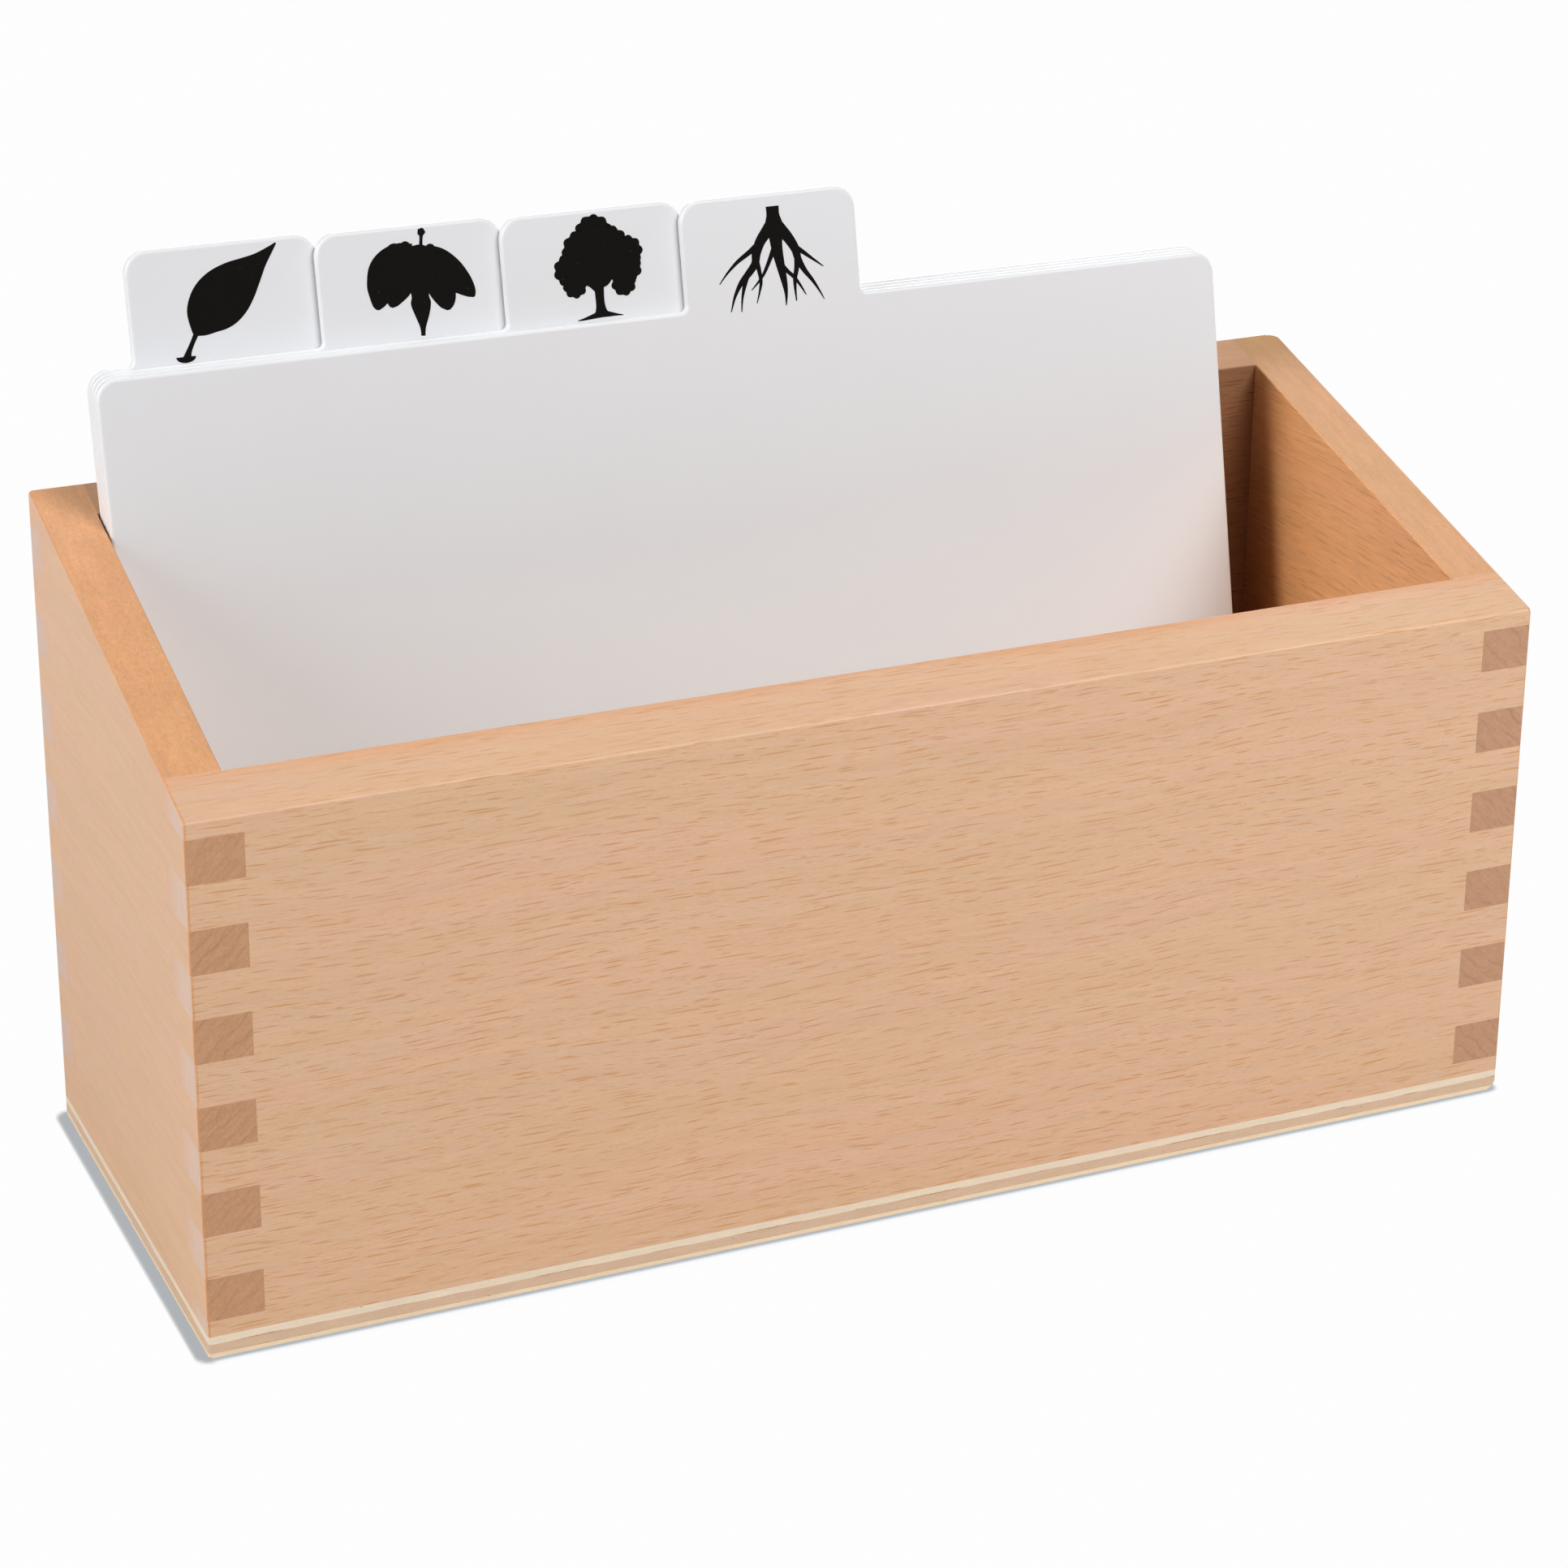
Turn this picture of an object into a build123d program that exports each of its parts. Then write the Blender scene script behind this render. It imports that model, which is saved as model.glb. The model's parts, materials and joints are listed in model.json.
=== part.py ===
from build123d import *
import math
import os

# An open card storage box: four finger-jointed beech boards on a flush plywood base,
# with four tabbed dividers that stand in it and lean back against the back board.
# Sizes are in millimetres. X runs along the box, +Y points to its back and +Z up.
# The origin is on the floor, under the middle of the box.

# Overall sizes of the box. Heights are above the base, at a board's outer face
box_length = 254.0
box_depth = 96.0
front_height = 94.0
back_height = 120.0

# Boards
side_thickness = 10.0
front_thickness = 12.0
back_thickness = 10.0

# Plywood base, from the walls down to the floor
top_ply = 1.4
core_ply = 1.8
bottom_ply = 1.0

# Finger joints. Starts are above the base, and the cap is the wood left over the top finger
finger_height = 8.0
front_joint_start = 3.0
back_joint_start = 9.6
finger_cap = 2.0

# Sanded edges
edge_round = 0.5
base_edge_round = 0.3
inner_edge_round = 0.4

# Reach of the ball-shaped rounding of each outer corner. They were sanded by hand, one by one
corner_rounds = {
    ("left", "front", "top"): 1.2,
    ("right", "front", "top"): 2.6,
    ("left", "back", "top"): 1.2,
    ("right", "back", "top"): 2.4,
    ("left", "front", "bottom"): 1.3,
    ("right", "front", "bottom"): 3.0,
    ("left", "back", "bottom"): 2.0,
    ("right", "back", "bottom"): 2.0,
}

# Dividers, named from the back of the row to the front. A punched sheet is soft on its front edge only
divider_names = ["leaf", "flower", "tree", "root"]
divider_height = 145.0
divider_thickness = 1.6
divider_corner = 4.0
divider_front_round = 0.7
divider_back_round = 0.15
lean_angle = 12.0

# Tabs, each one step further to the right than the tab behind it
first_tab_inset = 8.5
tab_step = 34.35
tab_width = 35.2
tab_height = 20.2
tab_corner = 4.2
tab_root_fillet = 1.2

# Clearances: at the dividers' left and right ends, between them, and at what they stand and lean on
left_end_gap = 0.3
right_end_gap = 11.9
divider_gap = 0.1
foot_clearance = 0.1
lean_clearance = 0.1

# Cutting bodies reach this far past what they cut
overcut = 5.0

base_height = top_ply + core_ply + bottom_ply
front_top = base_height + front_height
back_top = base_height + back_height
top_angle = math.degrees(math.atan2(back_height - front_height, box_depth))
inner_length = box_length - 2 * side_thickness
divider_width = inner_length - left_end_gap - right_end_gap


def top_at(y):
    """Height of the sloping top plane above the floor at a distance y behind the middle."""
    return front_top + (y + box_depth / 2) * math.tan(math.radians(top_angle))


def block(low, high):
    """A rectangular block from its lowest to its highest corner."""
    size = [high[i] - low[i] for i in range(3)]
    middle = [(high[i] + low[i]) / 2 for i in range(3)]
    return Pos(*middle) * Box(*size)


def eased_wedge():
    """The block that the whole box was sanded to, with its sloping top and its edges eased."""
    half = box_depth / 2
    corners = [(-half, 0), (half, 0), (half, back_top), (-half, front_top)]
    wedge = extrude(Plane.YZ * make_face(Polyline(*corners, close=True)), box_length / 2, both=True)
    wedge = fillet([edge for edge in wedge.edges() if edge.center().Z > 0.01], edge_round)
    return fillet(wedge.edges().group_by(Axis.Z)[0], base_edge_round)


def corner_cut(corner, r):
    """What a ball-shaped rounding of reach r takes off one outer corner of the box."""
    x_side = -1 if "left" in corner else 1
    y_side = -1 if "front" in corner else 1
    at_top = "top" in corner
    slope = math.radians(top_angle) if at_top else 0.0
    x = x_side * (box_length / 2 - r)
    y = y_side * (box_depth / 2 - r)
    z = top_at(y) - r / math.cos(slope) if at_top else r
    y_start = y - r * math.sin(slope)
    z_end = top_at(y) + overcut if at_top else -overcut
    x_out = x_side * (box_length / 2 + overcut)
    y_out = y_side * (box_depth / 2 + overcut)
    low = (min(x, x_out), min(y_start, y_out), min(z, z_end))
    high = (max(x, x_out), max(y_start, y_out), max(z, z_end))
    return block(low, high) - Pos(x, y, z) * Sphere(r * math.sqrt(2))


def outer_form():
    """The whole box as one solid, with its edges eased and its corners rounded."""
    form = eased_wedge()
    for corner, reach in corner_rounds.items():
        form -= corner_cut(corner, reach)
    return form


def wall_ring(form):
    """The four walls in one, above the base, with the card space cut out and its rim eased."""
    walls = form & block((-box_length, -box_depth, base_height), (box_length, box_depth, back_top + overcut))
    inner_front = -box_depth / 2 + front_thickness
    inner_back = box_depth / 2 - back_thickness
    half = inner_length / 2
    walls -= block((-half, inner_front, base_height - overcut), (half, inner_back, back_top + overcut))

    def on_rim(edge):
        middle = edge.center()
        near_top = abs(middle.Z - top_at(middle.Y)) < inner_edge_round
        inside = abs(middle.X) < half + inner_edge_round
        between = inner_front - inner_edge_round < middle.Y < inner_back + inner_edge_round
        return near_top and inside and between

    return fillet(walls.edges().filter_by(on_rim), inner_edge_round)


def finger_levels(start, top):
    """Bottom and top heights, above the base, of every second finger of a corner joint."""
    levels = []
    low = start
    while low + finger_height + finger_cap <= top:
        levels.append((low, low + finger_height))
        low += 2 * finger_height
    return levels


def side_fingers(x_side):
    """The side board's fingers at a front corner, as blocks that fill the corner."""
    inner = x_side * (box_length / 2 - side_thickness)
    outer = x_side * (box_length / 2 + overcut)
    back = -box_depth / 2 + front_thickness
    return [
        block((min(inner, outer), -box_depth / 2 - overcut, base_height + low),
              (max(inner, outer), back, base_height + high))
        for low, high in finger_levels(front_joint_start, front_height)
    ]


def back_fingers(x_side):
    """The back board's fingers at a back corner, as blocks that fill the corner."""
    inner = x_side * (box_length / 2 - side_thickness)
    outer = x_side * (box_length / 2 + overcut)
    front = box_depth / 2 - back_thickness
    lowest_top = top_at(front) - base_height
    return [
        block((min(inner, outer), front, base_height + low),
              (max(inner, outer), box_depth / 2 + overcut, base_height + high))
        for low, high in finger_levels(back_joint_start, lowest_top)
    ]


def front_board(walls):
    """The low front board, full length, notched at both ends for the side boards' fingers."""
    inner = -box_depth / 2 + front_thickness
    board = walls & block((-box_length, -box_depth, 0), (box_length, inner, back_top + overcut))
    for finger in side_fingers(-1) + side_fingers(1):
        board -= finger
    return board


def back_board(walls):
    """The tall back board. Only its fingers reach the ends of the box."""
    inner = box_depth / 2 - back_thickness
    half = inner_length / 2
    blank = block((-half, inner, 0), (half, box_depth, back_top + overcut))
    for finger in back_fingers(-1) + back_fingers(1):
        blank += finger
    return walls & blank


def side_board(walls, x_side):
    """A side board with a sloping top. It has fingers in front and takes the back board's fingers."""
    inner = x_side * (box_length / 2 - side_thickness)
    outer = x_side * box_length
    front = -box_depth / 2 + front_thickness
    blank = block((min(inner, outer), front, 0), (max(inner, outer), box_depth, back_top + overcut))
    for finger in side_fingers(x_side):
        blank += finger
    for finger in back_fingers(x_side):
        blank -= finger
    return walls & blank


def ply(form, low, high):
    """One layer of the plywood base between two heights above the floor."""
    return form & block((-box_length, -box_depth, low), (box_length, box_depth, high))


def divider_outline(tab_left):
    """A divider seen square on, with its bottom left corner at the origin and its tab on top."""
    sheet = Pos(divider_width / 2, divider_height / 2) * Rectangle(divider_width, divider_height)
    tab_middle = tab_left + tab_width / 2
    sheet += Pos(tab_middle, divider_height + tab_height / 2) * Rectangle(tab_width, tab_height)

    def at(height, inner):
        level = sheet.vertices().filter_by(lambda v: abs(v.Y - height) < 0.01)
        beside_tab = [v for v in level if abs(v.X - tab_middle) < tab_width / 2 + 0.01]
        return beside_tab if inner else [v for v in level if v not in beside_tab]

    sheet = fillet(at(divider_height, True), tab_root_fillet)
    sheet = fillet(at(divider_height + tab_height, True), tab_corner)
    ends = [v for v in sheet.vertices() if v.X < 0.01 or v.X > divider_width - 0.01]
    return fillet(ends, divider_corner)


def divider(place):
    """One leaning divider. Place 0 rests on the back board and the others stand in front of it."""
    lean = math.radians(lean_angle)
    facing = (0, -math.cos(lean), math.sin(lean))
    edge_y = box_depth / 2 - back_thickness
    rest_y = edge_y + facing[1] * lean_clearance
    rest_z = top_at(edge_y) + facing[2] * lean_clearance
    round_lift = divider_back_round * (math.cos(lean) + math.sin(lean) - 1)
    foot_z = base_height + foot_clearance - round_lift
    foot_y = rest_y - (rest_z - foot_z) * math.tan(lean)
    foot_y -= place * (divider_thickness + divider_gap) / math.cos(lean)
    left_x = -inner_length / 2 + left_end_gap
    sheet_plane = Plane(origin=(left_x, foot_y, foot_z), x_dir=(1, 0, 0), z_dir=facing)
    outline = divider_outline(first_tab_inset + place * tab_step)
    sheet = extrude(sheet_plane * outline, divider_thickness)

    def at_depth(depth):
        return sheet.edges().filter_by(lambda edge: abs(sheet_plane.to_local_coords(edge.center()).Z - depth) < 0.01)

    sheet = fillet(at_depth(divider_thickness), divider_front_round)
    return fillet(at_depth(0), divider_back_round)


def build():
    """Every piece of the box by its name."""
    form = outer_form()
    walls = wall_ring(form)
    pieces = {
        "front_panel": front_board(walls),
        "back_panel": back_board(walls),
        "left_side_panel": side_board(walls, -1),
        "right_side_panel": side_board(walls, 1),
        "base_top_ply": ply(form, bottom_ply + core_ply, base_height),
        "base_core_ply": ply(form, bottom_ply, bottom_ply + core_ply),
        "base_bottom_ply": ply(form, 0, bottom_ply),
    }
    for place, name in enumerate(divider_names):
        pieces[name + "_divider"] = divider(place)
    return pieces


os.makedirs("parts", exist_ok=True)
for name, piece in build().items():
    export_step(piece, "parts/" + name + ".step")
    print(name, round(piece.volume), "cubic mm")
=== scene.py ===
import bpy
import json
import math
import numpy as np
from mathutils import Matrix, Vector

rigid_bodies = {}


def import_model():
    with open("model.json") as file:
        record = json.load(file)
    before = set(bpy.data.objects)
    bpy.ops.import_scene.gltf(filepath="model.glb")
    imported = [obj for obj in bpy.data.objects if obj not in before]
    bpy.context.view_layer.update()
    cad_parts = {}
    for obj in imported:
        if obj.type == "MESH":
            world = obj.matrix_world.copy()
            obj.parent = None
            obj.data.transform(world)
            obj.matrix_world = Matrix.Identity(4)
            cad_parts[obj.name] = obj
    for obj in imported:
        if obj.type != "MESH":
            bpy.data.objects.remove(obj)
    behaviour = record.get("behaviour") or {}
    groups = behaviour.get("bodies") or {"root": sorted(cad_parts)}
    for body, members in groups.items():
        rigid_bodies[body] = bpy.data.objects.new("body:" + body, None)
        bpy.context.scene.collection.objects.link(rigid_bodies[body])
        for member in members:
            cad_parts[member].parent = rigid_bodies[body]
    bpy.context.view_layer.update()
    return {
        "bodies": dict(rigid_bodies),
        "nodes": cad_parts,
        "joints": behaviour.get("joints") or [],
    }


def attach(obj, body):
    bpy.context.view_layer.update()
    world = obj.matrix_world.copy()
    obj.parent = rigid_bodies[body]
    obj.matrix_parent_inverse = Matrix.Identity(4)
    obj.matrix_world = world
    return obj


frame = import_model()
bodies, nodes = frame["bodies"], frame["nodes"]
mm = 0.001


# shader helpers

def put(tree, kind, links=None, **settings):
    # one node with its settings, its input values and its incoming wires
    made = tree.nodes.new(kind)
    for name, value in settings.items():
        setattr(made, name, value)
    connect(tree, made, links or {})
    return made


def connect(tree, made, links):
    # a socket is wired to the named input, and any other value is set on it
    for key, value in links.items():
        if isinstance(value, bpy.types.NodeSocket):
            tree.links.new(value, made.inputs[key])
        else:
            made.inputs[key].default_value = value


def calc(tree, operation, *values, clamp=False):
    # one sum on numbers, such as first times second plus third
    made = put(tree, "ShaderNodeMath", dict(enumerate(values)), operation=operation, use_clamp=clamp)
    return made.outputs[0]


def vec(tree, operation, *values):
    # one sum on vectors, done on x, y and z apart, or their length or dot product
    made = put(tree, "ShaderNodeVectorMath", dict(enumerate(values)), operation=operation)
    return made.outputs["Value" if operation in ("LENGTH", "DOT_PRODUCT") else "Vector"]


def ease(tree, value, low, high, toLow=0.0, toHigh=1.0):
    # smooth step from toLow at low to toHigh at high
    links = {0: value, 1: low, 2: high, 3: toLow, 4: toHigh}
    return put(tree, "ShaderNodeMapRange", links, interpolation_type="SMOOTHSTEP").outputs[0]


def blendColor(tree, factor, first, second, mode="MIX"):
    # first at factor 0 and second at factor 1, or first times second
    links = {0: factor, 6: first, 7: second}
    return put(tree, "ShaderNodeMix", links, data_type="RGBA", blend_type=mode).outputs[2]


def noise(tree, place, scale=1.0, detail=2.0, rough=0.5):
    # smooth noise about 0.5 whose lumps are one over scale wide
    links = {"Vector": place, "Scale": scale, "Detail": detail, "Roughness": rough}
    return put(tree, "ShaderNodeTexNoise", links).outputs


def newGroup(name, inputs, outputs):
    # an empty node group with named sockets, and its input and output ends
    tree = bpy.data.node_groups.new(name, "ShaderNodeTree")
    for label, kind, start in inputs:
        socket = tree.interface.new_socket(name=label, in_out="INPUT", socket_type="NodeSocket" + kind)
        socket.default_value = start
    for label, kind in outputs:
        tree.interface.new_socket(name=label, in_out="OUTPUT", socket_type="NodeSocket" + kind)
    return tree, tree.nodes.new("NodeGroupInput").outputs, tree.nodes.new("NodeGroupOutput")


def rgb(red, green, blue):
    # a screen colour from 0 to 255, as the linear colour that shaders take
    levels = [value / 255 for value in (red, green, blue)]
    return tuple(v / 12.92 if v <= 0.04045 else ((v + 0.055) / 1.055) ** 2.4 for v in levels) + (1.0,)


def newMaterial(name):
    # a material with its node tree and its Principled shader
    made = bpy.data.materials.new(name)
    made.use_nodes = True
    tree = made.node_tree
    return made, tree, tree.nodes["Principled BSDF"]


def wear(node, material):
    # the CAD node keeps its mesh and takes this material
    mesh = nodes[node].data
    mesh.materials.clear()
    mesh.materials.append(material)


# beech

# tints are what a colour is multiplied by, tones are how far it swings about itself, and lengths are in mm
beech = dict(
    tan=rgb(228, 187, 151), pink=rgb(230, 186, 153), fleck=rgb(208, 145, 88), arris=rgb(214, 142, 90),
    pale=(1.0, 1.005, 1.02, 1.0), yellow=(1.0, 0.985, 0.94, 1.0),
    slopeTint=(0.99, 0.79, 0.59, 1.0), brightTint=(1.12, 1.14, 1.18, 1.0), innerFleck=(0.66, 0.52, 0.40, 1.0),
    fibreTone=0.21, ringTone=0.06, streakTone=0.11, grit=0.10,
    poreTone=0.6, patchTone=0.20, slantTone=0.22,
    endMottle=0.44, endHairlines=0.42, endRings=0.22, endPits=0.18,
    ringPitch=2.6, ringWander=1.6, drift=5.0, curl=3.0,
    roughness=0.42, fibreRougher=0.10, endRougher=0.12,
    relief=0.12, fibreRelief=0.5, fleckRelief=0.6, endRelief=0.9,
    # in mm along the grain, through the board and up it, with the faintest and the strongest
    flecks=[
        dict(spacing=(8.8, 9.0, 1.35), half=(5.4, 6.0, 0.21), weak=0.55, strong=1.0),
        dict(spacing=(5.6, 7.0, 0.9), half=(2.8, 5.0, 0.15), weak=0.25, strong=0.8),
        dict(spacing=(2.4, 4.0, 0.52), half=(0.85, 3.0, 0.1), weak=0.05, strong=0.4),
    ],
    spots=dict(spacing=(23.0, 13.0, 19.0), half=(0.45, 8.0, 0.3), weak=0.0, strong=0.7),
)

# how many lumps of a pattern lie in a mm along the grain, through the board and up it
beechLumps = dict(
    drift=(0.018, 0.03, 0.045), patchy=(0.03, 0.02, 0.05), cloud=(0.009, 0.05, 0.07),
    fibre=(0.09, 1.1, 2.3), yellow=(0.014, 0.35, 0.8), speckle=(1.1, 3.6, 3.6), broad=(0.012, 0.25, 0.42),
    bright=(0.11, 1.0, 3.2), curl=(0.5, 0.5, 0.5), pores=(0.9, 1.9, 1.9), patches=(0.06, 0.2, 0.2),
    longStreaks=(0.035, 0.6, 0.3), mottle=(0.5, 1.4, 1.4), ripple=(0.1, 0.16, 0.16), pits=(1.0, 3.4, 3.4),
    bandStray=(0.02, 0.1, 0.4),
)


def fleckLayer(tree, place, layer):
    # spindles about scattered seeds: with s = (dx / a)^2 + |dz| / b + (dy / c)^2,
    # a spindle is full where s is small and gone where s is 1
    # a is the layer's half length times 0.35 + 0.75 chance^1.6, so most spindles are short
    cellPlace = vec(tree, "DIVIDE", place, layer["spacing"])
    cells = put(tree, "ShaderNodeTexVoronoi", {"Vector": cellPlace, "Scale": 1.0}).outputs
    chance = put(tree, "ShaderNodeSeparateColor", {0: cells["Color"]}).outputs
    away = vec(tree, "MULTIPLY", vec(tree, "SUBTRACT", cellPlace, cells["Position"]), layer["spacing"])
    away = put(tree, "ShaderNodeSeparateXYZ", {0: vec(tree, "DIVIDE", away, layer["half"])}).outputs
    stretch = calc(tree, "MULTIPLY_ADD", calc(tree, "POWER", chance[0], 1.6), 0.75, 0.35)
    spread = calc(tree, "POWER", calc(tree, "DIVIDE", away[0], stretch), 2.0)
    spread = calc(tree, "ADD", spread, calc(tree, "ABSOLUTE", away[2]))
    spread = calc(tree, "MULTIPLY_ADD", away[1], away[1], spread)
    inside = ease(tree, spread, 1.0, 0.35)
    share = calc(tree, "MULTIPLY_ADD", chance[1], layer["strong"] - layer["weak"], layer["weak"])
    return calc(tree, "MULTIPLY", inside, share)


def swing(tree, value, amount):
    # 1 plus the share of a noise value that lies off its middle
    return calc(tree, "MULTIPLY_ADD", calc(tree, "SUBTRACT", value, 0.5), amount, 1.0)


def stretched(tree, place, scale, detail=2.0, rough=0.5):
    # noise whose lumps are one over scale long in each direction
    return noise(tree, vec(tree, "MULTIPLY", place, scale), detail=detail, rough=rough)[0]


def tinted(tree, color, tint):
    # colour times tint
    return blendColor(tree, 1.0, color, tint, "MULTIPLY")


def beechFigure():
    # wood seen in its own directions, in mm: x along the grain, y through the board, z up its width
    tree, given, out = newGroup(
        "beechFigure",
        [
            ("Place", "Vector", (0, 0, 0)), ("Normal", "Vector", (0, 0, 1)),
            ("Ring Direction", "Vector", (0, 0.7, 0.7)),
            ("Flecks", "Float", 1.0), ("Streaks", "Float", 1.0), ("Curl", "Float", 1.0),
            ("Inner Side", "Float", 1.0), ("Inner Shade Tint", "Color", (1, 1, 1, 1)),
            ("Top Tint", "Color", (1, 1, 1, 1)), ("Rim Tint", "Color", (1, 1, 1, 1)),
            ("Band", "Float", 0.0), ("Band Tint", "Color", (1, 1, 1, 1)),
            ("End Color", "Color", (1, 1, 1, 1)), ("End Figure", "Float", 1.0),
        ],
        [("Color", "Color"), ("Roughness", "Float"), ("Height", "Float")],
    )
    place = given["Place"]
    normal = put(tree, "ShaderNodeSeparateXYZ", {0: given["Normal"]}).outputs
    alongGrain = calc(tree, "ABSOLUTE", normal[0])
    outOfBoard = calc(tree, "ABSOLUTE", normal[1])
    upright = calc(tree, "ABSOLUTE", normal[2])
    inner = ease(tree, calc(tree, "MULTIPLY", normal[1], given["Inner Side"]), 0.4, 0.9)

    # the grain wanders up and down by about a millimetre, and everything that follows it wanders with it
    drift = stretched(tree, place, beechLumps["drift"])
    lift = put(tree, "ShaderNodeCombineXYZ", {2: calc(tree, "MULTIPLY", drift, beech["drift"])}).outputs[0]
    bent = vec(tree, "ADD", place, lift)

    # on the top of a board the spindles lie along its surface too, so there y and z change places
    spot = put(tree, "ShaderNodeSeparateXYZ", {0: bent}).outputs
    laid = put(tree, "ShaderNodeCombineXYZ", {0: spot[0], 1: spot[2], 2: spot[1]}).outputs[0]
    onTop = ease(tree, upright, 0.6, 0.75)
    fleckPlace = put(tree, "ShaderNodeMix", {0: onTop, 4: bent, 5: laid}, data_type="VECTOR").outputs[1]
    layers = [fleckLayer(tree, fleckPlace, layer) for layer in beech["flecks"]]
    flecks = calc(tree, "MAXIMUM", calc(tree, "MAXIMUM", layers[0], layers[1]), layers[2])
    patchy = stretched(tree, place, beechLumps["patchy"])
    flecks = calc(tree, "MULTIPLY", flecks, ease(tree, patchy, 0.25, 0.55, 0.65, 1.0))
    shown = ease(tree, outOfBoard, 0.1, 0.9, 0.75, 1.0)
    flecks = calc(tree, "MULTIPLY", flecks, calc(tree, "MULTIPLY", shown, given["Flecks"]))
    flecks = calc(tree, "MULTIPLY", flecks, calc(tree, "MULTIPLY_ADD", inner, 0.4, 1.0), clamp=True)

    # broad soft bands of hue, fine fibres, and the tone of the rings where the face cuts them
    fibre = stretched(tree, bent, beechLumps["fibre"], detail=3.0, rough=0.6)
    cloud = stretched(tree, bent, beechLumps["cloud"])
    acrossBoard = vec(tree, "DOT_PRODUCT", bent, given["Ring Direction"])
    ringPlace = calc(tree, "DIVIDE", acrossBoard, beech["ringPitch"])
    ringTone = noise(tree, put(tree, "ShaderNodeCombineXYZ", {0: ringPlace}).outputs[0], scale=0.6)[0]
    hue = ease(tree, calc(tree, "MULTIPLY_ADD", ringTone, 0.5, cloud), 0.6, 0.92)
    face = blendColor(tree, hue, beech["tan"], beech["pink"])
    tone = swing(tree, fibre, beech["fibreTone"])
    tone = calc(tree, "MULTIPLY", tone, swing(tree, ringTone, beech["ringTone"]))
    streaks = calc(tree, "MULTIPLY", given["Streaks"], calc(tree, "MULTIPLY_ADD", inner, 0.8, 1.0))
    tone = calc(tree, "MULTIPLY_ADD", calc(tree, "SUBTRACT", tone, 1.0), streaks, 1.0)
    face = tinted(tree, face, tone)
    yellow = ease(tree, stretched(tree, bent, beechLumps["yellow"]), 0.36, 0.62)
    face = tinted(tree, face, blendColor(tree, yellow, beech["pale"], beech["yellow"]))
    speckle = stretched(tree, place, beechLumps["speckle"], rough=0.6)
    face = tinted(tree, face, swing(tree, speckle, beech["grit"]))
    broad = stretched(tree, bent, beechLumps["broad"])
    face = tinted(tree, face, swing(tree, broad, beech["streakTone"]))

    # the board's tints on its top, along its band and inside the box, and then the flecks: the inner tint is
    # painted shade, and so are the back board's top tint and the right board's band
    face = blendColor(tree, outOfBoard, tinted(tree, face, given["Top Tint"]), face)
    face = blendColor(tree, given["Band"], face, tinted(tree, face, given["Band Tint"]))
    face = blendColor(tree, inner, face, tinted(tree, face, given["Inner Shade Tint"]))
    bright = ease(tree, stretched(tree, bent, beechLumps["bright"]), 0.58, 0.70)
    bright = calc(tree, "MULTIPLY", bright, inner)
    face = blendColor(tree, bright, face, tinted(tree, face, beech["brightTint"]))
    fleckColor = blendColor(tree, inner, beech["fleck"], tinted(tree, face, beech["innerFleck"]))
    face = blendColor(tree, flecks, face, fleckColor)
    knots = calc(tree, "MULTIPLY", fleckLayer(tree, place, beech["spots"]), ease(tree, outOfBoard, 0.6, 0.9))
    face = blendColor(tree, knots, face, beech["arris"])

    # a face cut at a slant to the grain shows curly pores, long soft streaks and a deeper orange
    curl = noise(tree, vec(tree, "MULTIPLY", place, beechLumps["curl"]))["Color"]
    curled = vec(tree, "ADD", place, vec(tree, "MULTIPLY", curl, (beech["curl"],) * 3))
    pores = stretched(tree, curled, beechLumps["pores"], detail=4.0, rough=0.75)
    patches = stretched(tree, place, beechLumps["patches"])
    slant = tinted(tree, face, beech["slopeTint"])
    porous = calc(tree, "SUBTRACT", swing(tree, pores, beech["poreTone"]), 1.0)
    slant = tinted(tree, slant, calc(tree, "MULTIPLY_ADD", porous, given["Curl"], 1.0))
    slant = tinted(tree, slant, swing(tree, patches, beech["patchTone"]))
    longStreaks = stretched(tree, place, beechLumps["longStreaks"], detail=3.0)
    slant = tinted(tree, slant, swing(tree, longStreaks, beech["slantTone"]))
    face = blendColor(tree, ease(tree, alongGrain, 0.08, 0.24), face, slant)

    # end grain: mottled, hairlines along the rings, and the rings' dark lines at uneven distances
    mottle = stretched(tree, place, beechLumps["mottle"], detail=4.0, rough=0.8)
    acrossRings = vec(tree, "CROSS_PRODUCT", given["Ring Direction"], (1.0, 0.0, 0.0))
    ringPair = put(tree, "ShaderNodeCombineXYZ", {
        0: vec(tree, "DOT_PRODUCT", place, given["Ring Direction"]),
        1: calc(tree, "MULTIPLY", vec(tree, "DOT_PRODUCT", place, acrossRings), 0.16),
    }).outputs[0]
    hairlines = noise(tree, ringPair, scale=1.5, detail=3.0, rough=0.65)[0]
    ripple = stretched(tree, place, beechLumps["ripple"])
    uneven = calc(tree, "MULTIPLY_ADD", ripple, beech["ringWander"], ringPlace)
    ringLine = calc(tree, "POWER", calc(tree, "FRACT", uneven), 7.0)
    ringNumber = put(tree, "ShaderNodeCombineXYZ", {0: calc(tree, "FLOOR", uneven)}).outputs[0]
    lineTone = noise(tree, ringNumber, scale=7.3)[0]
    ringLine = calc(tree, "MULTIPLY", ringLine, ease(tree, lineTone, 0.35, 0.65))
    grit = swing(tree, mottle, beech["endMottle"])
    grit = calc(tree, "MULTIPLY", grit, swing(tree, hairlines, beech["endHairlines"]))
    grit = calc(tree, "MULTIPLY_ADD", ringLine, -beech["endRings"], grit)
    pits = ease(tree, stretched(tree, place, beechLumps["pits"]), 0.60, 0.70)
    grit = calc(tree, "MULTIPLY_ADD", pits, -beech["endPits"], grit)
    grit = calc(tree, "MULTIPLY_ADD", calc(tree, "SUBTRACT", grit, 1.0), given["End Figure"], 1.0)

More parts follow.
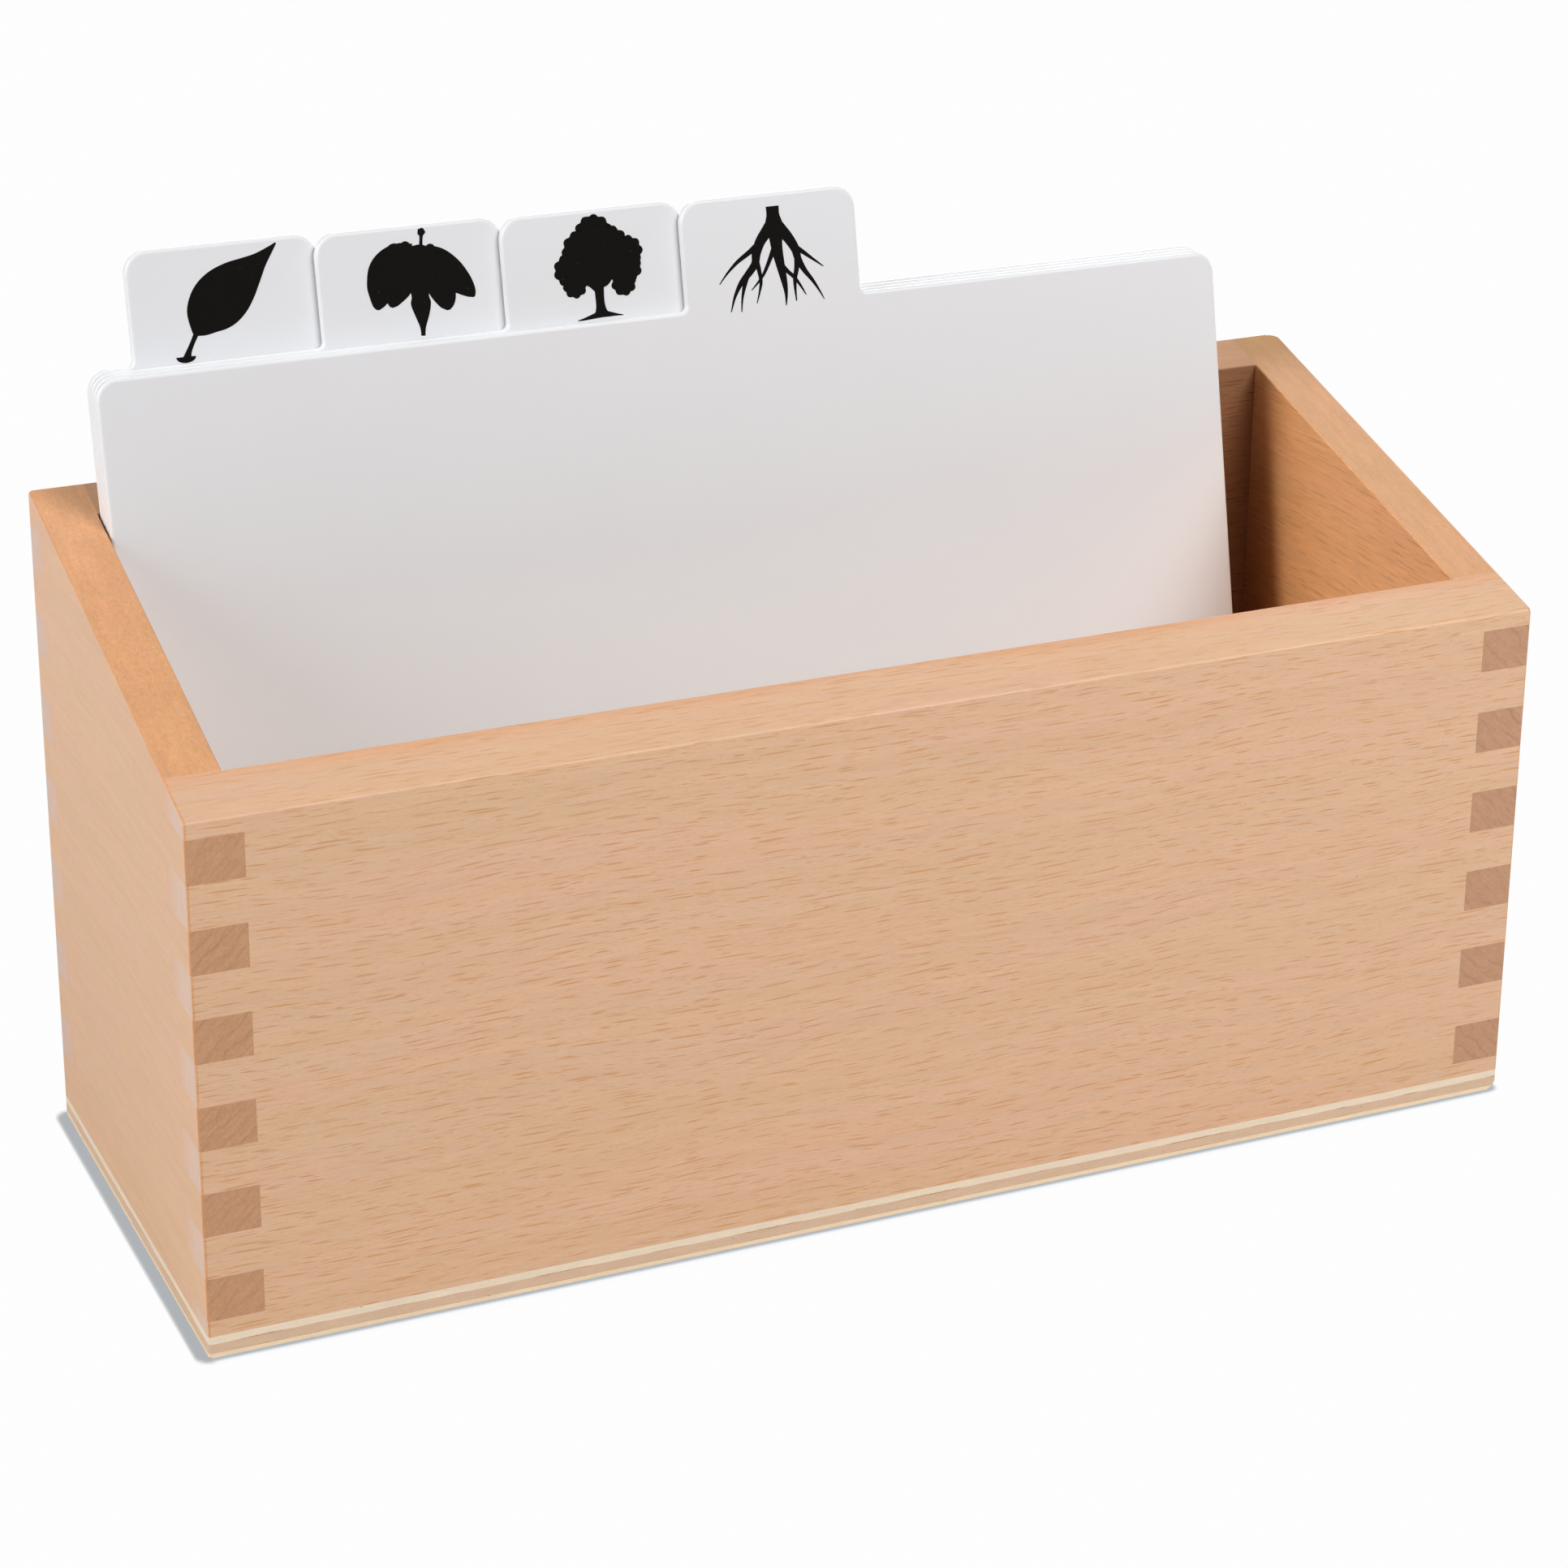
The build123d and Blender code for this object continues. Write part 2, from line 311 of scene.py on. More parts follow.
    # its dark parts are more orange: red follows the grit least and blue most
    endRed = calc(tree, "MULTIPLY_ADD", grit, 0.85, 0.15)
    endBlue = calc(tree, "MULTIPLY_ADD", grit, 1.5, -0.5)
    gritColor = put(tree, "ShaderNodeCombineColor", {0: endRed, 1: grit, 2: endBlue}).outputs[0]
    endGrain = tinted(tree, given["End Color"], gritColor)

    # the sanded arrises: orange at the ends of the boards, with a tint of their own elsewhere, which on the
    # right board is a painted highlight
    toEnd = calc(tree, "MULTIPLY", ease(tree, alongGrain, 0.3, 0.55), ease(tree, patchy, 0.3, 0.7, 0.45, 0.9))
    face = blendColor(tree, calc(tree, "MULTIPLY", toEnd, given["End Figure"]), face, beech["arris"])
    highest = calc(tree, "MAXIMUM", calc(tree, "MAXIMUM", alongGrain, outOfBoard), upright)
    rim = calc(tree, "MULTIPLY", ease(tree, highest, 0.95, 0.8), ease(tree, pores, 0.35, 0.6, 0.3, 1.0))
    rim = calc(tree, "MULTIPLY", rim, ease(tree, alongGrain, 0.5, 0.3))
    face = blendColor(tree, rim, face, tinted(tree, face, given["Rim Tint"]))

    isEnd = ease(tree, alongGrain, 0.72, 0.95)
    tree.links.new(blendColor(tree, isEnd, face, endGrain), out.inputs["Color"])
    roughness = calc(tree, "MULTIPLY_ADD", isEnd, beech["endRougher"], beech["roughness"])
    roughness = calc(tree, "MULTIPLY_ADD", fibre, beech["fibreRougher"], roughness)
    tree.links.new(roughness, out.inputs["Roughness"])
    relief = calc(tree, "MULTIPLY", fibre, beech["fibreRelief"])
    relief = calc(tree, "MULTIPLY_ADD", flecks, -beech["fleckRelief"], relief)
    relief = calc(tree, "MULTIPLY_ADD", calc(tree, "MULTIPLY", mottle, isEnd), beech["endRelief"], relief)
    tree.links.new(relief, out.inputs["Height"])
    return tree


beechGroup = beechFigure()

# patterns are worked out in mm, and a band's edge strays this far to each side
perMetre = (1000, 1000, 1000)
bandStray = 3.0 * mm

# grain is the box direction that the fibres follow, X or Y
# band is where a stripe of another tone begins and is full on the board's top, in mm of the box's Y; on the
# right board this stripe is painted shade
# corner is where the painted shade of an inner corner begins and is full: along X from the middle, or along Y
# fade is where the painted sheen that makes an end pale on the left face begins and is gone
boards = dict(
    front_panel=dict(
        name="frontBeech", grain="X", shift=(13, 7, 3), ringDirection=(0, 0.94, 0.34),
        flecks=0.95, streaks=1.0, curl=1.0,
        innerSide=1.0, innerShadeTint=(1.0, 0.97, 0.93, 1.0),
        topTint=(0.985, 0.98, 0.975, 1.0), rimTint=(0.97, 0.955, 0.95, 1.0),
        band=(-40.0, -36.5), bandTint=(0.985, 0.88, 0.80, 1.0),
        # its left end is pale with painted sheen
        endFigure=0.25, endColor=rgb(225, 193, 172), rightEnd=rgb(204, 153, 114),
        fade=(-43.0, -36.5), fadeColor=rgb(227, 184, 155),
    ),
    back_panel=dict(
        name="backBeech", grain="X", shift=(413, 37, 83), ringDirection=(0, 0.9, -0.44),
        flecks=0.95, streaks=1.1, curl=1.0,
        # painted shade: its inner face, its top and its inner corners are darkened
        innerSide=-1.0, innerShadeTint=(0.74, 0.62, 0.51, 1.0),
        topTint=(0.60, 0.44, 0.28, 1.0), rimTint=(1.0, 1.0, 1.0, 1.0),
        corner=(88.0, 104.0), cornerShadeTint=(0.34, 0.25, 0.18, 1.0),
        # its left end is pale with painted sheen
        endFigure=0.25, endColor=rgb(218, 190, 174), rightEnd=rgb(199, 150, 114),
        fade=(45.0, 38.5), fadeColor=rgb(227, 184, 155),
    ),
    left_side_panel=dict(
        name="leftBeech", grain="Y", shift=(90, 210, 40), ringDirection=(0, 0.7, 0.71),
        flecks=0.22, streaks=0.9, curl=1.0,
        # painted shade: its inner face is darker and more orange, and darker still near the back corner
        innerSide=-1.0, innerShadeTint=(0.9, 0.8, 0.66, 1.0),
        topTint=(0.985, 0.98, 0.975, 1.0), rimTint=(0.93, 0.77, 0.62, 1.0),
        corner=(24.0, 34.0), cornerShadeTint=(0.66, 0.53, 0.40, 1.0),
        endFigure=1.0, endColor=rgb(201, 151, 113),
    ),
    right_side_panel=dict(
        name="rightBeech", grain="Y", shift=(277, 330, 140), ringDirection=(0, 0.7, -0.71),
        flecks=0.5, streaks=1.1, curl=0.35,
        # painted shade: its inner face is darker and more orange, darker still near the back corner, and its
        # band darkens the back of its top; its rim tint is a painted highlight on its arrises
        innerSide=1.0, innerShadeTint=(1.02, 0.78, 0.51, 1.0),
        topTint=(0.925, 0.995, 1.06, 1.0), rimTint=(1.22, 1.27, 1.36, 1.0),
        band=(33.0, 44.0), bandTint=(0.72, 0.70, 0.52, 1.0),
        corner=(22.0, 34.0), cornerShadeTint=(0.70, 0.50, 0.30, 1.0),
        endFigure=1.0, endColor=rgb(197, 149, 116),
    ),
)


def beechBoard(board):
    # the figure in the board's own directions, with its band, the painted shade of its inner corners and the
    # painted sheen that makes its left ends pale
    material, tree, shader = newMaterial(board["name"])
    coords = put(tree, "ShaderNodeTexCoord").outputs
    turn = (0, 0, 0) if board["grain"] == "X" else (0, 0, -math.pi / 2)
    links = {"Vector": coords["Object"], "Location": board["shift"], "Rotation": turn, "Scale": perMetre}
    place = put(tree, "ShaderNodeMapping", links).outputs[0]
    facing = put(tree, "ShaderNodeMapping", {"Vector": coords["Normal"], "Rotation": turn}).outputs[0]
    figure = put(tree, "ShaderNodeGroup", node_tree=beechGroup)
    connect(tree, figure, {
        "Place": place, "Normal": facing, "Ring Direction": board["ringDirection"],
        "Flecks": board["flecks"], "Streaks": board["streaks"], "Inner Side": board["innerSide"],
        "Inner Shade Tint": board["innerShadeTint"], "Top Tint": board["topTint"], "Rim Tint": board["rimTint"],
        "Curl": board["curl"], "End Color": board["endColor"], "End Figure": board["endFigure"],
    })
    across, depth = put(tree, "ShaderNodeSeparateXYZ", {0: coords["Object"]}).outputs[:2]
    # the band: a stripe of another tone on the front board's top, and painted shade at the back of the right
    # board's top
    if "band" in board:
        figure.inputs["Band Tint"].default_value = board["bandTint"]
        stray = stretched(tree, place, beechLumps["bandStray"])
        ragged = calc(tree, "MULTIPLY_ADD", stray, 2 * bandStray, depth)
        start, full = (y * mm + bandStray for y in board["band"])
        up = put(tree, "ShaderNodeSeparateXYZ", {0: facing}).outputs[2]
        band = calc(tree, "MULTIPLY", ease(tree, ragged, start, full), ease(tree, up, 0.5, 0.9))
        tree.links.new(band, figure.inputs["Band"])
    # painted shade: darker near the inner corners
    if "corner" in board:
        start, full = (distance * mm for distance in board["corner"])
        distance = calc(tree, "ABSOLUTE", across) if board["grain"] == "X" else depth
        shade = ease(tree, distance, start, full)
        innerShadeTint = blendColor(tree, shade, board["innerShadeTint"], board["cornerShadeTint"])
        tree.links.new(innerShadeTint, figure.inputs["Inner Shade Tint"])
    # painted sheen: the left ends are pale and show little figure, fading inward; the right ends keep plain
    # end grain
    if "fade" in board:
        start, gone = (y * mm for y in board["fade"])
        endTone = blendColor(tree, ease(tree, depth, start, gone), board["endColor"], board["fadeColor"])
        onRight = calc(tree, "GREATER_THAN", across, 0.0)
        endTone = blendColor(tree, onRight, endTone, board["rightEnd"])
        endFigure = calc(tree, "MULTIPLY_ADD", onRight, 1.0 - board["endFigure"], board["endFigure"])
        tree.links.new(endFigure, figure.inputs["End Figure"])
        tree.links.new(endTone, figure.inputs["End Color"])
    tree.links.new(figure.outputs["Color"], shader.inputs["Base Color"])
    tree.links.new(figure.outputs["Roughness"], shader.inputs["Roughness"])
    links = {"Height": figure.outputs["Height"], "Strength": 0.3, "Distance": beech["relief"] * mm}
    bump = put(tree, "ShaderNodeBump", links)
    tree.links.new(bump.outputs[0], shader.inputs["Normal"])
    return material


for node, board in boards.items():
    wear(node, beechBoard(board))
print("beech on", len(boards), "boards")


# plywood

# lower and upper are the heights of the glue lines above the floor in mm, and ragged is how far they stray
# a line is full within lineFull mm of its height and gone at lineGone
plywood = dict(
    pale=rgb(244, 225, 200), core=rgb(223, 190, 160), lowest=rgb(248, 224, 190),
    line=rgb(190, 148, 108), lower=1.0, upper=2.8, ragged=0.16, lineFull=0.04, lineGone=0.14,
    streakTone=0.16, blotchTone=0.12, gritTone=0.10, roughness=0.5, relief=0.1,
    spots=dict(spacing=(7.0, 7.0, 5.0), half=(0.4, 3.0, 0.3), weak=0.0, strong=0.7),
)


def plyMaterial(name, tone, seams):
    # one ply: cloudy and faintly streaked, with a thin brown glue line that comes and goes along its seams
    material, tree, shader = newMaterial(name)
    coords = put(tree, "ShaderNodeTexCoord").outputs
    place = put(tree, "ShaderNodeMapping", {"Vector": coords["Object"], "Scale": perMetre}).outputs[0]
    streak = stretched(tree, place, (0.25, 0.25, 2.2), detail=3.0)
    blotch = stretched(tree, place, (0.12, 0.12, 0.5))
    grit = stretched(tree, place, (1.4, 1.4, 1.8), detail=3.0, rough=0.65)
    color = tinted(tree, tone, swing(tree, streak, plywood["streakTone"]))
    color = tinted(tree, color, swing(tree, blotch, plywood["blotchTone"]))
    color = tinted(tree, color, swing(tree, grit, plywood["gritTone"]))
    height = put(tree, "ShaderNodeSeparateXYZ", {0: place}).outputs[2]
    stray = calc(tree, "MULTIPLY", calc(tree, "SUBTRACT", grit, 0.5), plywood["ragged"] * 2)
    height = calc(tree, "ADD", height, stray)
    present = ease(tree, stretched(tree, place, (0.09, 0.09, 0.02)), 0.42, 0.62)
    for seam in seams:
        away = calc(tree, "ABSOLUTE", calc(tree, "SUBTRACT", height, seam))
        near = ease(tree, away, plywood["lineGone"], plywood["lineFull"])
        color = blendColor(tree, calc(tree, "MULTIPLY", near, present), color, plywood["line"])
    color = blendColor(tree, fleckLayer(tree, place, plywood["spots"]), color, plywood["line"])
    tree.links.new(color, shader.inputs["Base Color"])
    shader.inputs["Roughness"].default_value = plywood["roughness"]
    bump = put(tree, "ShaderNodeBump", {"Height": grit, "Strength": 0.3, "Distance": plywood["relief"] * mm})
    tree.links.new(bump.outputs[0], shader.inputs["Normal"])
    return material


wear("base_top_ply", plyMaterial("topPly", plywood["pale"], [plywood["upper"]]))
wear("base_core_ply", plyMaterial("corePly", plywood["core"], [plywood["lower"], plywood["upper"]]))
wear("base_bottom_ply", plyMaterial("bottomPly", plywood["lowest"], []))
print("three plies of the base")


# dividers and their printed figures

# the dividers lean and slide along sheetUp, and their printed side looks along sheetFacing
sheetUp = np.array(next(joint["axis"] for joint in frame["joints"] if joint["name"] == "leaf_lift"))
sheetFacing = np.array([0.0, -sheetUp[2], sheetUp[1]])

# low begins at lowFrom and is full at lowFull, in metres above the floor
# faceOn and edgeOn are how square a point looks to the front where face ends and where edge is full
# low and edge are painted light: paler colours for the low part of the sheet and its soft edges
dividerPlastic = dict(
    face=rgb(226, 227, 230), low=rgb(233, 235, 237), edge=rgb(244, 245, 247),
    lowFrom=0.14, lowFull=0.08, faceOn=0.98, edgeOn=0.6, hazeTone=0.02, roughness=0.45,
)


def plasticMaterial():
    # milky sheet: faintly hazy, with painted light that makes it paler low down, where the box's front shades
    # it, and paler round its soft edges, where light comes through
    material, tree, shader = newMaterial("whitePlastic")
    coords = put(tree, "ShaderNodeTexCoord").outputs
    haze = noise(tree, coords["Object"], scale=60.0, detail=3.0)[0]
    height = put(tree, "ShaderNodeSeparateXYZ", {0: coords["Object"]}).outputs[2]
    low = ease(tree, height, dividerPlastic["lowFrom"], dividerPlastic["lowFull"])
    color = blendColor(tree, low, dividerPlastic["face"], dividerPlastic["low"])
    turned = calc(tree, "ABSOLUTE", vec(tree, "DOT_PRODUCT", coords["Normal"], tuple(sheetFacing)))
    onEdge = ease(tree, turned, dividerPlastic["faceOn"], dividerPlastic["edgeOn"])
    color = blendColor(tree, onEdge, color, dividerPlastic["edge"])
    color = tinted(tree, color, swing(tree, haze, dividerPlastic["hazeTone"]))
    tree.links.new(color, shader.inputs["Base Color"])
    shader.inputs["Roughness"].default_value = dividerPlastic["roughness"]
    return material


plastic = plasticMaterial()
dividers = ["leaf_divider", "flower_divider", "tree_divider", "root_divider"]
for name in dividers:
    wear(name, plastic)
print("plastic on", len(dividers), "dividers")

# the print is this thick in mm, and each shape of a figure lies this much higher than the one before it
# the tab's middle is looked for down to reach below its top, and lies half below it
tabPrint = dict(
    thickness=0.03, step=0.0015, sunk=0.01, reach=12.0, half=10.1,
    ink=rgb(12, 10, 8), speck=rgb(90, 84, 76), roughness=0.6, specular=0.05,
)

# figures in mm from the middle of the tab, x to the right and u up the sheet
# a blade or limb is a row of (x, u, half width), a blob is (x, u, radius, scallops, scallop depth, turn)
figures = dict(
    leaf_divider=dict(
        name="leaf_print", body="leaf_card",
        limbs=[
            [(-6.2, -5.6, 0.45), (-5.3, -4.5, 2.2), (-3.9, -2.7, 4.0), (-1.9, -0.7, 5.0), (0.5, 1.3, 4.95),
             (2.9, 3.2, 4.0), (5.0, 4.8, 2.7), (6.9, 6.3, 1.5), (8.6, 7.7, 0.75), (10.1, 9.0, 0.15)],
            [(-5.7, -5.1, 0.5), (-6.7, -6.9, 0.42), (-7.5, -8.4, 0.5), (-8.0, -9.7, 0.8)],
            [(-9.9, -9.35, 0.1), (-9.3, -9.7, 0.42), (-8.2, -9.85, 0.55), (-7.0, -9.7, 0.42),
             (-6.4, -9.4, 0.1)],
        ],
        blobs=[],
    ),
    flower_divider=dict(
        name="flower_print", body="flower_card",
        limbs=[
            [(1.1, 3.0, 2.2), (1.1, 0.0, 2.1), (1.1, -2.6, 1.65), (1.1, -3.9, 1.9), (1.15, -5.2, 1.65),
             (1.15, -6.7, 1.15), (1.1, -8.2, 0.6), (1.05, -9.2, 0.42), (1.0, -9.9, 0.4)],
            [(2.0, 6.0, 0.32), (2.2, 7.4, 0.3), (2.3, 8.3, 0.35)],
            [(0.2, 3.4, 3.4), (-2.4, 3.5, 3.6), (-4.6, 2.2, 3.6), (-5.9, 0.0, 2.9), (-6.5, -2.2, 2.0),
             (-6.9, -3.7, 1.1), (-7.0, -4.4, 0.3)],
            [(1.8, 3.0, 3.3), (4.4, 2.4, 3.4), (6.8, 0.9, 3.0), (8.8, -0.9, 2.3), (10.1, -2.3, 1.6),
             (10.9, -3.3, 0.9), (11.3, -3.9, 0.2)],
            [(-1.6, 1.6, 2.4), (-2.8, -0.6, 2.6), (-3.7, -2.3, 2.0), (-4.2, -3.5, 1.2), (-4.5, -4.2, 0.3)],
            [(4.4, 1.2, 2.2), (5.2, -1.4, 2.6), (5.8, -3.5, 2.1), (6.1, -5.0, 1.3), (6.2, -5.8, 0.3)],
        ],
        blobs=[
            (1.1, 2.6, 3.9, 7, 0.03, 0.1), (-3.1, 6.0, 1.2, 3, 0.04, 0.2), (-0.9, 6.2, 1.1, 3, 0.05, 1.0),
            (3.7, 5.3, 1.1, 3, 0.05, 0.8), (2.35, 8.7, 0.7, 5, 0.08, 0.2),
        ],
    ),
    tree_divider=dict(
        name="tree_print", body="tree_card",
        limbs=[
            [(0.3, -1.5, 1.6), (0.4, -4.0, 1.0), (0.4, -6.4, 0.85), (0.45, -8.0, 0.95), (0.5, -9.1, 1.4),
             (0.5, -9.8, 2.0)],
            [(0.6, -9.1, 0.7), (-1.4, -9.5, 0.42), (-3.0, -9.8, 0.22), (-4.2, -9.95, 0.07)],
            [(0.4, -9.0, 0.7), (2.2, -9.35, 0.42), (3.6, -9.6, 0.2), (4.7, -9.75, 0.07)],
            [(0.3, -4.9, 0.6), (-1.2, -3.3, 0.7), (-2.6, -2.4, 0.9)],
            [(0.5, -4.6, 0.5), (1.6, -3.1, 0.6), (2.8, -2.0, 0.9)],
        ],
        blobs=[
            (0.2, 5.3, 3.6, 11, 0.07, 0.2), (-2.2, 2.6, 3.8, 11, 0.07, 0.7), (3.0, 2.9, 3.7, 11, 0.07, 1.1),
            (-5.0, -0.6, 2.9, 9, 0.08, 0.1), (-4.2, -3.5, 2.2, 8, 0.08, 0.5), (6.5, 1.7, 2.8, 9, 0.08, 0.9),
            (6.4, -1.3, 2.5, 8, 0.08, 0.0), (5.3, -3.9, 2.3, 8, 0.08, 0.6), (0.4, -0.4, 3.9, 7, 0.04, 0.3),
        ],
    ),
    root_divider=dict(
        name="roots_print", body="root_card",
        limbs=[
            [(0.8, 7.6, 1.3), (0.8, 6.0, 1.3), (0.85, 4.2, 1.75), (1.0, 2.0, 1.35), (1.15, -0.6, 1.1),
             (1.6, -3.6, 0.85), (2.1, -6.6, 0.6), (2.3, -8.8, 0.33), (2.15, -11.0, 0.1)],
            [(0.5, 5.0, 0.9), (-0.7, 3.1, 1.1), (-2.2, 1.2, 1.0), (-3.1, -0.8, 0.9), (-3.5, -2.6, 0.75),
             (-4.8, -4.2, 0.7), (-6.6, -6.0, 0.5), (-8.0, -8.3, 0.28), (-9.0, -11.1, 0.09)],
            [(-2.4, 1.0, 0.6), (-4.4, -0.4, 0.5), (-7.0, -2.0, 0.36), (-9.2, -3.9, 0.2), (-10.9, -5.8, 0.08)],
            [(-5.4, -4.9, 0.55), (-6.1, -7.0, 0.36), (-6.6, -9.0, 0.2), (-6.9, -11.3, 0.09)],
            [(-3.3, -1.8, 0.6), (-2.8, -4.0, 0.42), (-2.6, -6.2, 0.32), (-3.1, -8.2, 0.18),
             (-3.7, -10.0, 0.08)],
            [(0.7, 0.2, 0.55), (-0.6, -2.4, 0.4), (-1.9, -4.7, 0.3), (-3.2, -6.2, 0.2), (-4.6, -7.5, 0.08)],
            [(1.1, 5.0, 0.9), (2.2, 3.2, 1.1), (3.7, 1.2, 1.0), (4.8, -0.8, 0.85), (5.2, -2.6, 0.7),
             (6.3, -4.8, 0.5), (7.9, -7.0, 0.32), (9.2, -9.2, 0.16), (9.9, -10.6, 0.08)],
            [(4.3, 0.0, 0.5), (6.1, -1.3, 0.42), (8.0, -2.8, 0.26), (10.2, -4.5, 0.09)],
            [(5.1, -2.0, 0.65), (4.8, -4.2, 0.5), (4.3, -6.2, 0.4), (4.2, -8.2, 0.24), (4.3, -10.4, 0.1)],
            [(1.5, -3.0, 0.5), (2.8, -4.6, 0.38), (4.2, -6.0, 0.34), (5.3, -7.6, 0.22), (6.3, -9.4, 0.08)],
        ],
        blobs=[],
    ),
)


def limbRails(rows, count=40):
    # the cubic (2b + (c - a) t + (2a - 5b + 4c - d) t^2 + (3b - a - 3c + d) t^3) / 2 from row b to row c,
    # with a and d the rows beside them, and the points half a width to each side of it
    rows = np.array(rows)
    way = np.linspace(0, len(rows) - 1, count)
    first = np.clip(way.astype(int), 0, len(rows) - 2)
    padded = np.vstack([2 * rows[0] - rows[1], rows, 2 * rows[-1] - rows[-2]])
    a, b, c, d = (padded[first + i] for i in range(4))
    t = (way - first)[:, None]
    line = 0.5 * (2 * b + (c - a) * t + (2 * a - 5 * b + 4 * c - d) * t**2 + (3 * b - a - 3 * c + d) * t**3)
    along = np.gradient(line[:, :2], axis=0)
    along /= np.linalg.norm(along, axis=1, keepdims=True)
    side = np.stack([-along[:, 1], along[:, 0]], axis=1) * np.maximum(line[:, 2:], 0.05)
    return line[:, :2] + side, line[:, :2] - side


def blobRails(x, u, radius, scallops, depth, turn, count=40):
    # two half outlines of a disc whose radius is r (1 - depth + 2 depth |sin(scallops (angle + turn) / 2)|)
    angle = np.linspace(0.04, math.pi - 0.04, count)
    rails = []
    for bearing in (angle, -angle):
        swell = radius * (1 - depth + depth * np.abs(np.sin(scallops * (bearing + turn) / 2)) * 2)
        rails.append(np.stack([x + swell * np.sin(bearing), u + swell * np.cos(bearing)], axis=1))
    return rails[1], rails[0]


def slabArrays(left, right, rise):
    # a closed strip between two rails: four corners at each station, quads around, one quad at each end
    count = len(left)
    high = np.full((count, 1), rise)
    low = np.full((count, 1), -tabPrint["sunk"])
    around = [(left, high), (right, high), (right, low), (left, low)]
    corners = np.stack([np.hstack(pair) for pair in around], 1)
    start = 4 * np.arange(count - 1)[:, None]
    corner = np.arange(4)[None, :]
    after = (corner + 1) % 4
    sides = np.stack([start + corner, start + after, start + 4 + after, start + 4 + corner], axis=-1)
    ends = np.array([[3, 2, 1, 0], [4 * count - 4, 4 * count - 3, 4 * count - 2, 4 * count - 1]])
    return corners.reshape(-1, 3), np.vstack([sides.reshape(-1, 4), ends])


def inkMaterial():
    # matt black with fine grey specks
    material, tree, shader = newMaterial("printInk")
    place = put(tree, "ShaderNodeTexCoord").outputs["Object"]
    grain = noise(tree, place, scale=2600.0, detail=2.0, rough=0.7)[0]
    speck = ease(tree, grain, 0.70, 0.80)
    tree.links.new(blendColor(tree, speck, tabPrint["ink"], tabPrint["speck"]), shader.inputs["Base Color"])
    shader.inputs["Roughness"].default_value = tabPrint["roughness"]
    shader.inputs["Specular IOR Level"].default_value = tabPrint["specular"]
    return material


ink = inkMaterial()


def printFigure(node, figure):
    # the tab's middle comes from the divider's own points: the tab is what stands highest up the sheet
    mesh = nodes[node].data
    points = np.empty(len(mesh.vertices) * 3)
    mesh.vertices.foreach_get("co", points)
    points = points.reshape(-1, 3)
    up = points @ sheetUp
    tab = points[up > up.max() - tabPrint["reach"] * mm]
    middle = (tab[:, 0].min() + tab[:, 0].max()) / 2
    tabHeight = up.max() - tabPrint["half"] * mm
    front = (points @ sheetFacing).max()
    parts, faces, base = [], [], 0
    rails = [limbRails(rows) for rows in figure["limbs"]] + [blobRails(*blob) for blob in figure["blobs"]]
    for index, (left, right) in enumerate(rails):
        corners, quads = slabArrays(left, right, tabPrint["thickness"] + index * tabPrint["step"])
        parts.append(corners)
        faces.append(quads + base)
        base += len(corners)
    flat = np.vstack(parts) * mm
    placed = (tabHeight + flat[:, 1:2]) * sheetUp + (front + flat[:, 2:]) * sheetFacing
    placed[:, 0] += middle + flat[:, 0]
    made = bpy.data.meshes.new(figure["name"])
    made.from_pydata(placed.tolist(), [], np.vstack(faces).tolist())
    made.materials.append(ink)
    piece = bpy.data.objects.new(figure["name"], made)
    bpy.context.scene.collection.objects.link(piece)
    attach(piece, figure["body"])


for node, figure in figures.items():
    printFigure(node, figure)
print(len(figures), "figures printed on the tabs")


# stage

# the floor shows a painted shadow beside the box: a narrow grey band on its left, and a thin line along every
# edge on it
# reaches are in metres, and overLeft and overRight are the parts of the sky that the band is told from
stage = dict(
    floorSize=6.0, floorPale=rgb(203, 203, 204), white=(0.985, 0.985, 0.985, 1.0), world=0.10,
    bandReach=0.0027, bandShade=rgb(176, 179, 182), overLeft=(-0.9, 0.0, 0.44), overRight=(0.9, 0.0, 0.44),
    lineReach=0.0016, lineShade=rgb(176, 184, 194),
)


def nearness(tree, reach, lean):
    # how much of the sky above a floor point, weighted towards lean, is closed off within reach
    normal = put(tree, "ShaderNodeCombineXYZ", dict(enumerate(lean))).outputs[0]
    links = {"Distance": reach, "Normal": normal}
    openSky = put(tree, "ShaderNodeAmbientOcclusion", links, samples=16).outputs["AO"]
    return calc(tree, "SUBTRACT", 1.0, openSky)


def floorMaterial():
    # lit as a pale floor, and seen by the camera as white with the box's painted shadow
    material, tree, shader = newMaterial("paleFloor")
    shader.inputs["Base Color"].default_value = stage["floorPale"]
    shader.inputs["Roughness"].default_value = 0.8
    # painted shadow: grey where the box closes off the sky close by
    toRight = nearness(tree, stage["bandReach"], stage["overRight"])
    toLeft = nearness(tree, stage["bandReach"], stage["overLeft"])
    band = ease(tree, calc(tree, "SUBTRACT", toRight, toLeft), 0.06, 0.28)
    line = ease(tree, nearness(tree, stage["lineReach"], (0.0, 0.0, 1.0)), 0.02, 0.45)
    color = blendColor(tree, line, stage["white"], stage["lineShade"])
    color = blendColor(tree, band, color, stage["bandShade"])
    seen = put(tree, "ShaderNodeEmission", {"Color": color, "Strength": 1.0})
    rays = put(tree, "ShaderNodeLightPath").outputs
    links = {0: rays["Is Camera Ray"], 1: shader.outputs[0], 2: seen.outputs[0]}
    mixed = put(tree, "ShaderNodeMixShader", links)
    tree.links.new(mixed.outputs[0], tree.nodes["Material Output"].inputs["Surface"])
    return material


def makeFloor():
    # a square of this size about the origin
    half = stage["floorSize"] / 2
    mesh = bpy.data.meshes.new("floor")
    corners = [(-half, -half, 0), (half, -half, 0), (half, half, 0), (-half, half, 0)]
    mesh.from_pydata(corners, [], [(0, 1, 2, 3)])
    floor = bpy.data.objects.new("floor", mesh)
    bpy.context.scene.collection.objects.link(floor)
    mesh.materials.append(floorMaterial())


